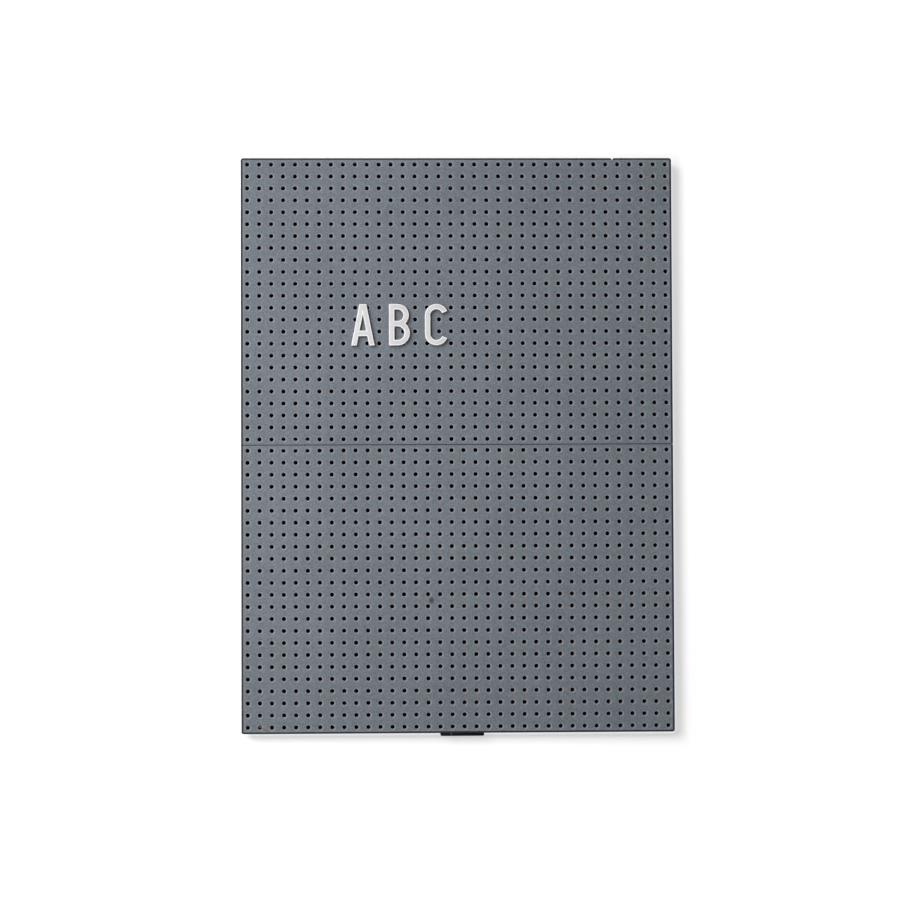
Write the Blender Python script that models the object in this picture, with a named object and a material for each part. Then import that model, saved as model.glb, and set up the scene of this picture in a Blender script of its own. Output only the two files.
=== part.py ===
"""Wall message board: two perforated trays joined end to end, with clips and three plug-in letters.

Metres, +Z up. The front faces -Y and the back lies on the wall at y = 0. The origin is on the
upper panel's hanger plate, where the board meets its wall.
"""

import math

import bmesh
import bpy
from mathutils import Matrix, Vector

# The grid of holes, the same on both panels
PITCH = 0.0064
COLUMNS = 36
ROWS = 24
HOLE_RADIUS = 0.0010
HOLE_STEP = 2          # one hole in this many is cut, across and up; 1 gives the whole grid
HOLE_SIDES = 5         # few, because the grid has so many holes
PEG_HOLE_SIDES = 12    # the holes that hold a letter's peg

# The panel moulding
DEPTH = 0.0140
PLATE = 0.0020
WALL = 0.0015
SIDE_MARGIN = 0.00345  # from the panel's side to the first column of holes
END_MARGIN = 0.00345   # from the board's top or bottom edge to the first row
SEAM_MARGIN = 0.0028   # from the panel's edge at the seam to the row beside it
SEAM_GAP = 0.0004
CORNER_RADIUS = 0.0012
SEAM_CORNER_RADIUS = 0.0006
RIM_RADIUS = 0.0005
POCKET_RADIUS = 0.0008

# Ribs behind the plate, each midway between two lines of holes
RIB = 0.0012
RIB_X = 0.0384
RIB_RISE = 0.0736      # from the panel's edge at the seam to its cross rib

# Hanger plate of each panel, bridging two short ribs at the panel's outer end
HANGER_X = 0.0128
HANGER_PLATE = 0.0020
HANGER_DROP = 0.0131   # from the panel's outer edge to the plate
HANGER_HEIGHT = 0.0192
HANGER_FACE = 0.0028   # from the plate's upper edge to the point that meets the wall
HEAD_RADIUS = 0.0040
SHANK_RADIUS = 0.0021
HEAD_UP = 0.0062       # from the plate's lower edge to the centre of the screw head's hole
SLOT_RISE = 0.0055

# U-shaped clips pushed on from behind
SEAT_GAP = 0.0003      # between pieces that touch
CLIP_WIDTH = 0.0224
CLIP_WEB = 0.0012
CLIP_LEG = 0.00095
CLIP_CORNER = 0.0006
SEAM_CLIP_COLUMNS = {"left": 4.0, "middle": 15.0, "right": -4.5}  # below 0: from the right
BOTTOM_CLIP_WIDTH = 0.0234
BOTTOM_CLIP_LEG = 0.0015
BOTTOM_CLIP_X = 0.0020

# Letters, drawn on the grid of the holes that they plug into
LETTER_THICKNESS = 0.0022
LETTER_HEIGHT = 3.47 * PITCH
LETTER_BASE = 0.20 * PITCH   # the letters' feet lie this far below their lowest row of holes
STROKE = 0.46 * PITCH
BAR = 0.47 * PITCH           # thickness of the level strokes
A_WIDTH = 1.97 * PITCH
A_APEX = 0.59 * PITCH
A_BAR_RISE = 0.78 * PITCH
B_WIDTH = 1.75 * PITCH
B_BAR_RISE = 1.59 * PITCH
B_UPPER_INSET = 0.08 * PITCH
C_RADIUS = 0.97 * PITCH
C_MOUTH = math.radians(22)
ARC_STEP = math.radians(15)
LETTER_CHAMFER = 0.00018
PEG_RADIUS = 0.0008
PEG_LENGTH = 0.0040
PEG_SIDES = 12
# Each letter's two holes, as column from the left and row from the top, and how far right of
# the letter's left side the first of them lies
LETTER_HOLES = {
    "letter_a": (((9, 15), (10, 14)), 0.344 * PITCH),
    "letter_b": (((12, 15), (12, 12)), 0.185 * PITCH),
    "letter_c": (((16, 15), (16, 12)), 1.19 * PITCH),
}

# Wear: a nick in the top edge
NICK_X = 0.0823
NICK_HALF_WIDTH = 0.0008
NICK_DROP = 0.0011
NICK_REACH = 0.0030

EXTRA = 0.0010         # how far a cutter runs past what it cuts, and a joined piece into it

# Worked out from the sizes above
WIDTH = (COLUMNS - 1) * PITCH + 2 * SIDE_MARGIN
PANEL_HEIGHT = (ROWS - 1) * PITCH + END_MARGIN + SEAM_MARGIN
TOP_Z = HANGER_DROP + HANGER_FACE
SEAM_Z = TOP_Z - PANEL_HEIGHT - SEAM_GAP / 2
PLATE_BACK = PLATE - DEPTH
END_WALL_BACK = -CLIP_WEB - SEAT_GAP


def clear_scene():
    for obj in list(bpy.data.objects):
        bpy.data.objects.remove(obj, do_unlink=True)


def new_collection(name):
    collection = bpy.data.collections.new(name)
    bpy.context.scene.collection.children.link(collection)
    return collection


def new_material(name, colour, roughness):
    material = bpy.data.materials.new(name)
    material.use_nodes = True
    shader = material.node_tree.nodes["Principled BSDF"]
    shader.inputs["Base Color"].default_value = (*colour, 1.0)
    shader.inputs["Roughness"].default_value = roughness
    shader.inputs["Metallic"].default_value = 0.0
    material.diffuse_color = (*colour, 1.0)
    return material


# Places on the grid


def column_x(column):
    return (column - (COLUMNS - 1) / 2) * PITCH


def row_out(row):
    """Height of a row above its panel's edge at the seam, counting from the seam."""
    return SEAM_MARGIN + row * PITCH


def between_columns(x):
    """The place nearest x that is midway between two columns of holes."""
    half = column_x(0) + PITCH / 2
    return half + round((x - half) / PITCH) * PITCH


def between_rows(rise):
    """The height nearest this one that is midway between two rows of holes."""
    half = SEAM_MARGIN + PITCH / 2
    return half + round((rise - half) / PITCH) * PITCH


def panel_z(side, rise):
    """World height of a point this far from a panel's seam edge: side is 1 above, -1 below."""
    return SEAM_Z + side * (SEAM_GAP / 2 + rise)


def letter_hole(column, row):
    """World place of an upper panel hole, given its column from the left and row from the top."""
    return Vector((column_x(column), -DEPTH, panel_z(1, row_out(ROWS - 1 - row))))


# Making shapes


def add_object(name, mesh, collection):
    data = bpy.data.meshes.new(name)
    bmesh.ops.recalc_face_normals(mesh, faces=mesh.faces)
    mesh.to_mesh(data)
    mesh.free()
    obj = bpy.data.objects.new(name, data)
    collection.objects.link(obj)
    return obj


def box_mesh(low, high):
    low, high = Vector(low), Vector(high)
    mesh = bmesh.new()
    place = Matrix.Translation((low + high) / 2) @ Matrix.Diagonal((*(high - low), 1))
    bmesh.ops.create_cube(mesh, size=1, matrix=place)
    return mesh


def edges_along_y(mesh):
    return [e for e in mesh.edges if abs(e.verts[0].co.y - e.verts[1].co.y) > EXTRA / 10]


def round_edges(mesh, edges, radius, steps):
    bmesh.ops.bevel(
        mesh, geom=edges, offset=radius, segments=steps, profile=0.5, affect="EDGES",
        clamp_overlap=True,
    )


def box(name, low, high, collection, corner=0.0, steps=3):
    """A box whose edges along Y are rounded."""
    mesh = box_mesh(low, high)
    if corner:
        round_edges(mesh, edges_along_y(mesh), corner, steps)
    return add_object(name, mesh, collection)


def cylinders(name, places, radius, length, sides, collection):
    """Cylinders along Y, in one object, from each place towards the back."""
    mesh = bmesh.new()
    turn = Matrix.Rotation(math.radians(90), 4, "X")
    for place in places:
        middle = Matrix.Translation(place + Vector((0, length / 2, 0)))
        bmesh.ops.create_cone(
            mesh, cap_ends=True, segments=sides, radius1=radius, radius2=radius,
            depth=length, matrix=middle @ turn,
        )
    return add_object(name, mesh, collection)


def boolean(target, other, operation):
    modifier = target.modifiers.new(f"{operation.lower()} {other.name}", "BOOLEAN")
    modifier.operation = operation
    modifier.solver = "EXACT"
    modifier.object = other


def hide_helpers(collection):
    collection.hide_render = True
    for helper in collection.objects:
        helper.hide_render = True
        helper.display_type = "WIRE"


# The panels


def hole_places(side, used):
    """Centres of the holes that are cut in one panel, and of those that hold a peg."""
    plain = []
    pegged = [letter_hole(*hole) for hole in used] if side > 0 else []
    taken = set(used) if side > 0 else set()
    for row in range(0, ROWS, HOLE_STEP):
        for column in range(0, COLUMNS, HOLE_STEP):
            if (column, ROWS - 1 - row) not in taken:
                plain.append(Vector((column_x(column), -DEPTH, panel_z(side, row_out(row)))))
    return plain, pegged


def panel(name, side, used, parts, cutters):
    """One tray. Its outer end is the board's top (side 1) or bottom edge (side -1)."""

    def span(start, end):
        return sorted((panel_z(side, start), panel_z(side, end)))

    bottom, top = span(0, PANEL_HEIGHT)
    mesh = box_mesh((-WIDTH / 2, -DEPTH, bottom), (WIDTH / 2, 0, top))
    seam_z = panel_z(side, 0)
    for at_seam, radius in ((False, CORNER_RADIUS), (True, SEAM_CORNER_RADIUS)):
        corners = [
            e for e in edges_along_y(mesh) if (abs(e.verts[0].co.z - seam_z) < EXTRA) == at_seam
            and abs(e.verts[0].co.x) > WIDTH / 2 - EXTRA / 10
        ]
        round_edges(mesh, corners, radius, 3)
    rim = [e for e in mesh.edges if max(v.co.y for v in e.verts) < EXTRA / 10 - DEPTH]
    round_edges(mesh, rim, RIM_RADIUS, 2)
    tray = add_object(name, mesh, parts)

    pocket_x = WIDTH / 2 - WALL
    boolean(tray, box(
        f"{name} pocket", (-pocket_x, PLATE_BACK, bottom + WALL),
        (pocket_x, EXTRA, top - WALL), cutters, POCKET_RADIUS,
    ), "DIFFERENCE")
    for end, (low, high) in {
        "seam": span(-EXTRA, 2 * WALL), "outer": span(PANEL_HEIGHT - 2 * WALL, PANEL_HEIGHT + EXTRA),
    }.items():
        boolean(tray, box(
            f"{name} {end} rebate", (-pocket_x, END_WALL_BACK, low),
            (pocket_x, EXTRA, high), cutters,
        ), "DIFFERENCE")

    add_ribs(tray, name, span, cutters)
    add_hanger(tray, name, side, span, cutters)

    plain, pegged = hole_places(side, used)
    ahead = Vector((0, -EXTRA, 0))
    for label, places, sides in (
        ("plain holes", plain, HOLE_SIDES), ("peg holes", pegged, PEG_HOLE_SIDES),
    ):
        if places:
            boolean(tray, cylinders(
                f"{name} {label}", [place + ahead for place in places], HOLE_RADIUS,
                PLATE + 2 * EXTRA, sides, cutters,
            ), "DIFFERENCE")
    return tray


def add_ribs(tray, name, span, cutters):
    """Two upright ribs and one cross rib, standing on the plate and tied to the walls."""
    low, high = span(WALL - EXTRA, PANEL_HEIGHT - WALL + EXTRA)
    front = PLATE_BACK - EXTRA
    for label, x in (("left", between_columns(-RIB_X)), ("right", between_columns(RIB_X))):
        boolean(tray, box(
            f"{name} {label} rib", (x - RIB / 2, front, low), (x + RIB / 2, END_WALL_BACK, high),
            cutters,
        ), "UNION")
    rise = between_rows(RIB_RISE)
    low, high = span(rise - RIB / 2, rise + RIB / 2)
    reach = WIDTH / 2 - WALL + EXTRA
    boolean(tray, box(
        f"{name} cross rib", (-reach, front, low), (reach, END_WALL_BACK - EXTRA, high), cutters,
    ), "UNION")


def add_hanger(tray, name, side, span, cutters):
    """A plate with a keyhole, level with the back and carried by two short ribs."""
    top = PANEL_HEIGHT - HANGER_DROP
    low, high = span(top - HANGER_HEIGHT, top)
    left, right = between_columns(-HANGER_X), between_columns(HANGER_X)
    for label, x in (("left", left), ("right", right)):
        boolean(tray, box(
            f"{name} hanger {label} rib", (x - RIB / 2, PLATE_BACK - EXTRA, low),
            (x + RIB / 2, 0, high), cutters,
        ), "UNION")
    boolean(tray, box(
        f"{name} hanger plate", (left, -HANGER_PLATE, low), (right, 0, high), cutters,
    ), "UNION")

    head_z = panel_z(side, top - HANGER_HEIGHT + HEAD_UP)
    slot_z = panel_z(side, top - HANGER_HEIGHT + HEAD_UP + SLOT_RISE)
    start = -HANGER_PLATE - EXTRA
    through = HANGER_PLATE + 2 * EXTRA
    head = cylinders(
        f"{name} keyhole", [Vector((0, start, head_z))], HEAD_RADIUS, through, 16, cutters)
    round_end = cylinders(
        f"{name} slot end", [Vector((0, start, slot_z))], SHANK_RADIUS, through, 12, cutters)
    slot = box(
        f"{name} slot", (-SHANK_RADIUS, start, min(head_z, slot_z)),
        (SHANK_RADIUS, start + through, max(head_z, slot_z)), cutters)
    for cutter in (head, slot, round_end):
        boolean(tray, cutter, "DIFFERENCE")


def add_nick(tray, cutters):
    """The small V that is knocked out of the front of the top edge."""
    mesh = box_mesh((-1, -DEPTH - EXTRA, -1), (1, NICK_REACH - DEPTH, 1))
    turn = Matrix.Rotation(math.radians(45), 4, "Y")
    size = Matrix.Diagonal((NICK_HALF_WIDTH, 1, NICK_DROP, 1))
    size = size @ Matrix.Diagonal((math.sqrt(0.5), 1, math.sqrt(0.5), 1))
    mesh.transform(Matrix.Translation((NICK_X, 0, TOP_Z)) @ size @ turn)
    boolean(tray, add_object("nick", mesh, cutters), "DIFFERENCE")


# The clips


def clip(name, x, width, low, high, leg, parts, cutters):
    """A U of this width: a web at the back and two legs that reach the plate."""
    front = PLATE_BACK + SEAT_GAP
    body = box(
        name, (x - width / 2, front, low), (x + width / 2, 0, high), parts,
        CLIP_CORNER, 3,
    )
    boolean(body, box(
        f"{name} channel", (x - width, front - EXTRA, low + leg),
        (x + width, -CLIP_WEB, high - leg), cutters,
    ), "DIFFERENCE")
    return body


def seam_clips(parts, cutters):
    half = SEAM_GAP / 2 + WALL + SEAT_GAP + CLIP_LEG
    made = []
    for label, column in SEAM_CLIP_COLUMNS.items():
        x = column_x(column if column >= 0 else COLUMNS + column)
        made.append(clip(
            f"seam_clip_{label}", x, CLIP_WIDTH, SEAM_Z - half, SEAM_Z + half, CLIP_LEG, parts,
            cutters))
    return made


def bottom_clip(parts, cutters):
    """The clip that sits on the lower panel's end wall, with one leg below the board."""
    bottom = panel_z(-1, PANEL_HEIGHT)
    low = bottom - SEAT_GAP - BOTTOM_CLIP_LEG
    high = bottom + WALL + SEAT_GAP + BOTTOM_CLIP_LEG
    return clip(
        "bottom_clip", BOTTOM_CLIP_X, BOTTOM_CLIP_WIDTH, low, high, BOTTOM_CLIP_LEG, parts, cutters)


# The letters


def arc(centre, radius, start, end):
    """Points on a round stretch, from one angle to the other, both in radians."""
    steps = max(2, round(abs(end - start) / ARC_STEP))
    angles = [start + (end - start) * n / steps for n in range(steps + 1)]
    return [(centre[0] + radius * math.cos(a), centre[1] + radius * math.sin(a)) for a in angles]


def outline_a():
    lean = (A_WIDTH - A_APEX) / 2 / LETTER_HEIGHT
    foot = STROKE * math.hypot(1, lean)

    def inner(height):
        return foot + lean * height

    outside = [(0, 0), (foot, 0), (inner(A_BAR_RISE), A_BAR_RISE)]
    right = [(A_WIDTH - x, z) for x, z in reversed(outside)]
    apex = [((A_WIDTH + A_APEX) / 2, LETTER_HEIGHT), ((A_WIDTH - A_APEX) / 2, LETTER_HEIGHT)]
    bar_top = A_BAR_RISE + BAR
    peak = (A_WIDTH / 2 - foot) / lean
    counter = [(inner(bar_top), bar_top), (A_WIDTH - inner(bar_top), bar_top), (A_WIDTH / 2, peak)]
    return [outside + right + apex, counter]


def outline_b():
    quarter = math.pi / 2
    low_radius = (B_BAR_RISE + BAR) / 2
    high_radius = (LETTER_HEIGHT - B_BAR_RISE) / 2
    low_centre = (B_WIDTH - low_radius, low_radius)
    high_centre = (B_WIDTH - B_UPPER_INSET - high_radius, LETTER_HEIGHT - high_radius)
    waist = B_BAR_RISE + BAR / 2
    low_angle = math.asin((waist - low_centre[1]) / low_radius)
    high_angle = math.asin((waist - high_centre[1]) / high_radius)
    outside = [(0, 0)]
    outside += arc(low_centre, low_radius, -quarter, low_angle)
    outside += arc(high_centre, high_radius, high_angle, quarter)
    outside += [(0, LETTER_HEIGHT)]
    counters = []
    for centre, radius in ((low_centre, low_radius - BAR), (high_centre, high_radius - BAR)):
        counters.append(
            [(STROKE, centre[1] - radius)] + arc(centre, radius, -quarter, quarter)
            + [(STROKE, centre[1] + radius)])
    return [outside, *counters]


def outline_c():
    inside = C_RADIUS - STROKE
    high = (C_RADIUS, LETTER_HEIGHT - C_RADIUS)
    low = (C_RADIUS, C_RADIUS)
    outline = arc(high, C_RADIUS, C_MOUTH, math.pi)
    outline += arc(low, C_RADIUS, math.pi, 2 * math.pi - C_MOUTH)
    outline += arc(low, inside, 2 * math.pi - C_MOUTH, math.pi)
    outline += arc(high, inside, math.pi, C_MOUTH)
    return [outline]


def flat_shape(name, outlines, thickness):
    """A mesh of outlines drawn in X and Z, of this thickness, centred on y = 0."""
    curve = bpy.data.curves.new(name, "CURVE")
    curve.dimensions = "2D"
    curve.fill_mode = "BOTH"
    curve.extrude = thickness / 2
    for points in outlines:
        spline = curve.splines.new("POLY")
        spline.points.add(len(points) - 1)
        for point, (x, z) in zip(spline.points, points):
            point.co = (x, z, 0, 1)
        spline.use_cyclic_u = True
    guide = bpy.data.objects.new(f"{name} outline", curve)
    guide.rotation_euler = (math.radians(90), 0, 0)
    bpy.context.scene.collection.objects.link(guide)
    bpy.context.view_layer.update()
    graph = bpy.context.evaluated_depsgraph_get()
    data = bpy.data.meshes.new_from_object(guide.evaluated_get(graph))
    mesh = bmesh.new()
    mesh.from_mesh(data)
    mesh.transform(guide.matrix_world)
    bmesh.ops.remove_doubles(mesh, verts=mesh.verts, dist=1e-6)
    bpy.data.objects.remove(guide, do_unlink=True)
    bpy.data.curves.remove(curve)
    bpy.data.meshes.remove(data)
    return mesh


def letter(name, outlines, parts, cutters):
    """A flat letter standing off the plate by a seat gap, with two pegs through its holes."""
    holes, left = LETTER_HOLES[name]
    first = letter_hole(*holes[0])
    middle_y = -DEPTH - SEAT_GAP - LETTER_THICKNESS / 2
    mesh = flat_shape(name, outlines, LETTER_THICKNESS)
    front = [
        e for e in mesh.edges
        if max(v.co.y for v in e.verts) < 0 and e.calc_face_angle(0) > math.radians(60)
    ]
    round_edges(mesh, front, LETTER_CHAMFER, 1)
    mesh.transform(Matrix.Translation((first.x - left, middle_y, first.z - LETTER_BASE)))
    body = add_object(name, mesh, parts)
    back = Vector((0, -SEAT_GAP - LETTER_THICKNESS / 2, 0))
    boolean(body, cylinders(
        f"{name} pegs", [letter_hole(*hole) + back for hole in holes], PEG_RADIUS,
        LETTER_THICKNESS / 2 + PEG_LENGTH, PEG_SIDES, cutters,
    ), "UNION")
    return body


def main():
    clear_scene()
    parts = new_collection("message_board")
    cutters = new_collection("message_board_cutters")
    grey = new_material("ABS, grey, spark-eroded mould finish", (0.195, 0.212, 0.235), 0.62)
    black = new_material("ABS, black, spark-eroded mould finish", (0.012, 0.012, 0.015), 0.55)
    white = new_material("ABS, white, satin moulded", (0.80, 0.80, 0.79), 0.45)

    used = [hole for holes, _ in LETTER_HOLES.values() for hole in holes]
    upper = panel("upper_panel", 1, used, parts, cutters)
    add_nick(upper, cutters)
    lower = panel("lower_panel", -1, used, parts, cutters)
    joined = seam_clips(parts, cutters)
    foot = bottom_clip(parts, cutters)
    outlines = {"letter_a": outline_a(), "letter_b": outline_b(), "letter_c": outline_c()}
    letters = [letter(name, shape, parts, cutters) for name, shape in outlines.items()]

    for pieces, material in (([upper, lower, *joined], grey), ([foot], black), (letters, white)):
        for piece in pieces:
            piece.data.materials.append(material)
    hide_helpers(cutters)


main()
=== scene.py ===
import math

import bmesh
import bpy
from mathutils import Matrix, Vector


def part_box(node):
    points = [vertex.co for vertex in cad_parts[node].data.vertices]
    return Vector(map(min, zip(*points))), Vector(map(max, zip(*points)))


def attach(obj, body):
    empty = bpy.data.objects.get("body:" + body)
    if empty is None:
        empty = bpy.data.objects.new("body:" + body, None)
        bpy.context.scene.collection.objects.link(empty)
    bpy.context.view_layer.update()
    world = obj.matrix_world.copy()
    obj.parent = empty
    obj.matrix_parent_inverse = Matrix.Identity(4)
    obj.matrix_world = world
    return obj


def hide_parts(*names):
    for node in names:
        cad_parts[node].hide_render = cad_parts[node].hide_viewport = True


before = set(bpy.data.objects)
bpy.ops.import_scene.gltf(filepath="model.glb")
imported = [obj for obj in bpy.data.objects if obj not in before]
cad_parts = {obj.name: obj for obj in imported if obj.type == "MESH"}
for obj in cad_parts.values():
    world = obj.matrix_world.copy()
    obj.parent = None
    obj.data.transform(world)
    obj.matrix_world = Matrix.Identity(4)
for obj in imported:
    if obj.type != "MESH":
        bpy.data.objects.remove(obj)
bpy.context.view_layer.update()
mm = 0.001
scene = bpy.context.scene
scene.view_settings.view_transform = "Standard"

upperLow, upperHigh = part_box("upper_panel")
lowerLow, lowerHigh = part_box("lower_panel")
seamZ = (upperLow.z + lowerHigh.z) / 2
frontY = upperLow.y
print("frame: board", round((upperHigh.x - upperLow.x) / mm, 1), "mm wide, seam at", round(seamZ / mm, 2))


# Node helpers, shared by every material

noiseSpan = (0.3, 0.7)      # what a noise's values mostly lie between
absIor = 1.53


def toLinear(hexColour):
    channels = [int(hexColour[n:n + 2], 16) / 255 for n in (1, 3, 5)]
    linear = [c / 12.92 if c <= 0.04045 else ((c + 0.055) / 1.055) ** 2.4 for c in channels]
    return (*linear, 1.0)


def addNode(tree, kind, *inputs, output=None, **settings):
    # the operation's name may come first; the inputs, in order or in a dictionary, are values or
    # other nodes' outputs; gives back the output of that name, or else the first one in use
    node = tree.nodes.new("ShaderNode" + kind)
    if inputs and isinstance(inputs[0], str):
        node.operation, *inputs = inputs
    for name, value in settings.items():
        setattr(node, name, value)
    given = inputs[0] if inputs and isinstance(inputs[0], dict) else dict(enumerate(inputs))
    for socket, value in given.items():
        if isinstance(value, bpy.types.NodeSocket):
            tree.links.new(value, node.inputs[socket])
        else:
            node.inputs[socket].default_value = value
    if output:
        return node.outputs[output]
    return next((socket for socket in node.outputs if socket.enabled), None)


def startMaterial(name):
    material = bpy.data.materials.new(name)
    material.use_nodes = True
    tree = material.node_tree
    tree.nodes.clear()
    return material, tree


def surface(tree, **noises):
    # the place in mm of the board's own frame, its three parts, and a noise for each name, given its
    # size in mm, detail and roughness
    place = addNode(tree, "TexCoord", output="Object")
    coords = addNode(tree, "VectorMath", "SCALE", {0: place, "Scale": 1 / mm})
    parts = addNode(tree, "SeparateXYZ", coords).node.outputs
    noise = {}
    for name, (size, detail, rough) in noises.items():
        noise[name] = addNode(tree, "TexNoise", {"Vector": coords, "Scale": 1 / size,
                                                 "Detail": detail, "Roughness": rough})
    return coords, parts, noise


def lay(tree, colour, *layers):
    # lays colours over one another, each with how far it covers what is below
    for over, cover in layers:
        colour, over = (toLinear(each) if isinstance(each, str) else each for each in (colour, over))
        colour = addNode(tree, "Mix", {"Factor": cover, "A": colour, "B": over}, data_type="RGBA")
    return colour


def within(tree, value, start, full, fade, end, most=1.0):
    # 0 up to start, rises until full, falls again from fade and is 0 from end on
    rise = addNode(tree, "MapRange", value, start, full, 0.0, most)
    fall = addNode(tree, "MapRange", value, end, fade)
    return addNode(tree, "Math", "MULTIPLY", rise, fall)


def beyond(tree, value, middle, half):
    # how far a value lies beyond a strip about its middle, negative within the strip
    off = addNode(tree, "Math", "SUBTRACT", value, middle)
    off = addNode(tree, "Math", "ABSOLUTE", off)
    return addNode(tree, "Math", "SUBTRACT", off, half)


def wavering(tree, value, noise, reach):
    # the value, made uneven by up to this much either way
    off = addNode(tree, "MapRange", noise, *noiseSpan, -reach, reach)
    return addNode(tree, "Math", "ADD", value, off)


def lengthOf(tree, x, z):
    # of a flat vector
    squares = [addNode(tree, "Math", "MULTIPLY", side, side) for side in (x, z)]
    return addNode(tree, "Math", "SQRT", addNode(tree, "Math", "ADD", *squares))


# Camera: fitted to the grid of holes in the photograph, a moderate telephoto nearly square on

camera = {
    "lens": 85.0, "sensor": 36.0, "nearest": 0.05, "farthest": 20.0,
    "x": -29.8 * mm, "y": -1148.3 * mm, "aboveSeam": -32.6 * mm,
    "turn": (91.498, 0.233, -1.296),
}


def makeCamera():
    data = bpy.data.cameras.new("camera")
    data.lens = camera["lens"]
    data.sensor_width = camera["sensor"]
    data.clip_start = camera["nearest"]
    data.clip_end = camera["farthest"]
    obj = bpy.data.objects.new("camera", data)
    obj.location = (camera["x"], camera["y"], seamZ + camera["aboveSeam"])
    obj.rotation_euler = [math.radians(a) for a in camera["turn"]]
    scene.collection.objects.link(obj)
    scene.camera = obj


# Stage: a white wall that the board hangs on, a pale floor far below, and three soft lamps

stage = {
    "wallGap": 0.4 * mm,          # between the back of the board and the wall
    "wallHalfWidth": 2.2, "wallTop": 1.6, "floorDrop": 1.2, "floorReach": 3.0,
    # painted shade: the wall is painted near black behind the board, and this far beyond its edge
    "shadeReach": 1.05 * mm,       # the wall is unlit behind the board, and this far beyond its edge
    "wallColour": "#CDCDCD", "shadeColour": "#0A0A0C", "floorColour": "#E9E8E6",
    # the camera sees the wall this much paler, so it reads as white: the first value near the
    # board, where its shadow falls, the second beyond it, and between them, in mm, a slow rise
    "wallLift": (0.575, 0.90), "liftFrom": 14.0, "liftTo": 70.0,
    # and a hair's breadth beside the board a little paler still, where light creeps round its edge
    "creepFrom": 2.0, "creepTo": 2.8, "creepLift": 0.12,
    # and under the board, just beyond that, a little deeper in shade
    "deepFrom": 3.0, "deepTo": 4.8, "deepShade": 0.085,
    "worldLevel": 0.14,
    # place, size, power and aim: a large lamp high on the left draws the shadow, a small near one
    # evens it out, and one behind the wall is for looking at the back
    "lamps": {
        "key": ((-0.673, -1.538, 0.536), 0.64, 14.9, (-0.05, 0.0, 0.018)),
        "fill": ((-0.182, -0.580, -0.005), 0.28, 1.5, (-0.404, 0.0, 0.096)),
        "backLamp": ((0.5, 1.3, 0.6), 1.2, 16.0, (0.0, 0.0, 0.0)),
    },
}


def boardDistance(tree, parts):
    # mm from the board's outline to a point of the wall
    offsets = []
    for axis, low, high in (("X", upperLow.x, upperHigh.x), ("Z", lowerLow.z, upperHigh.z)):
        off = beyond(tree, parts[axis], (low + high) / 2 / mm, (high - low) / 2 / mm)
        offsets.append(addNode(tree, "Math", "MAXIMUM", off, 0.0))
    return lengthOf(tree, *offsets)


def wallMaterial():
    material, tree = startMaterial("Wall, white matt emulsion")
    parts = surface(tree)[1]
    away = boardDistance(tree, parts)
    bottom = lowerLow.z / mm
    below = addNode(tree, "MapRange", parts["Z"], bottom, bottom - 1, 0.0, stage["deepShade"])
    deep = addNode(tree, "MapRange", away, stage["deepTo"], stage["deepFrom"])
    deep = addNode(tree, "Math", "MULTIPLY", deep, below)
    creep = addNode(tree, "MapRange", away, stage["creepTo"], stage["creepFrom"])
    lifted = addNode(tree, "Math", "ADD", below, stage["creepLift"])
    creep = addNode(tree, "Math", "MULTIPLY", creep, lifted)
    level = addNode(tree, "MapRange", away, stage["liftFrom"], stage["liftTo"], *stage["wallLift"])
    level = addNode(tree, "Math", "SUBTRACT", level, deep)
    level = addNode(tree, "Math", "ADD", level, creep)
    seen = addNode(tree, "LightPath", output="Is Camera Ray")
    glow = addNode(tree, "Emission", {"Strength": addNode(tree, "Math", "MULTIPLY", seen, level)})
    paint = addNode(tree, "AddShader", addNode(tree, "BsdfDiffuse", toLinear(stage["wallColour"])), glow)
    # one-sided, so that the board's back can be looked at
    behind = addNode(tree, "NewGeometry", output="Backfacing")
    oneSided = addNode(tree, "MixShader", behind, paint, addNode(tree, "BsdfTransparent"))
    addNode(tree, "OutputMaterial", oneSided)
    return material


def shadeMaterial():
    material, tree = startMaterial("Wall in the board's own shade")
    # painted shade: dark to whatever comes from the front, clear to whatever has come through it from the
    # back
    behind = addNode(tree, "NewGeometry", output="Backfacing")
    through = addNode(tree, "LightPath", output="Transparent Depth")
    passed = addNode(tree, "Math", "MAXIMUM", behind, through, use_clamp=True)
    dark = addNode(tree, "BsdfDiffuse", toLinear(stage["shadeColour"]))
    mixed = addNode(tree, "MixShader", passed, dark, addNode(tree, "BsdfTransparent"))
    addNode(tree, "OutputMaterial", mixed)
    return material


def floorMaterial():
    material, tree = startMaterial("Floor, pale matt")
    addNode(tree, "OutputMaterial", addNode(tree, "BsdfDiffuse", toLinear(stage["floorColour"])))
    return material


def stageMesh(name, corners, faces, materials, faceMaterials):
    data = bpy.data.meshes.new(name)
    data.from_pydata(corners, [], faces)
    for material in materials:
        data.materials.append(material)
    for polygon, index in zip(data.polygons, faceMaterials):
        polygon.material_index = index
    obj = bpy.data.objects.new(name, data)
    scene.collection.objects.link(obj)


def makeStage():
    y = upperHigh.y + stage["wallGap"]
    reach = stage["shadeReach"]
    xs = [-stage["wallHalfWidth"], upperLow.x - reach, upperHigh.x + reach, stage["wallHalfWidth"]]
    zs = [seamZ - stage["floorDrop"], lowerLow.z - reach, upperHigh.z + reach, stage["wallTop"]]
    corners = [(x, y, z) for z in zs for x in xs]
    faces, kinds = [], []
    for row in range(3):
        for column in range(3):
            first = row * 4 + column
            faces.append((first, first + 1, first + 5, first + 4))
            kinds.append(1 if row == column == 1 else 0)
    stageMesh("wall", corners, faces, [wallMaterial(), shadeMaterial()], kinds)
    near = -stage["floorReach"]
    floor = [(xs[0], near, zs[0]), (xs[3], near, zs[0]), (xs[3], y, zs[0]), (xs[0], y, zs[0])]
    stageMesh("floor", floor, [(0, 1, 2, 3)], [floorMaterial()], [0])


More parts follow.
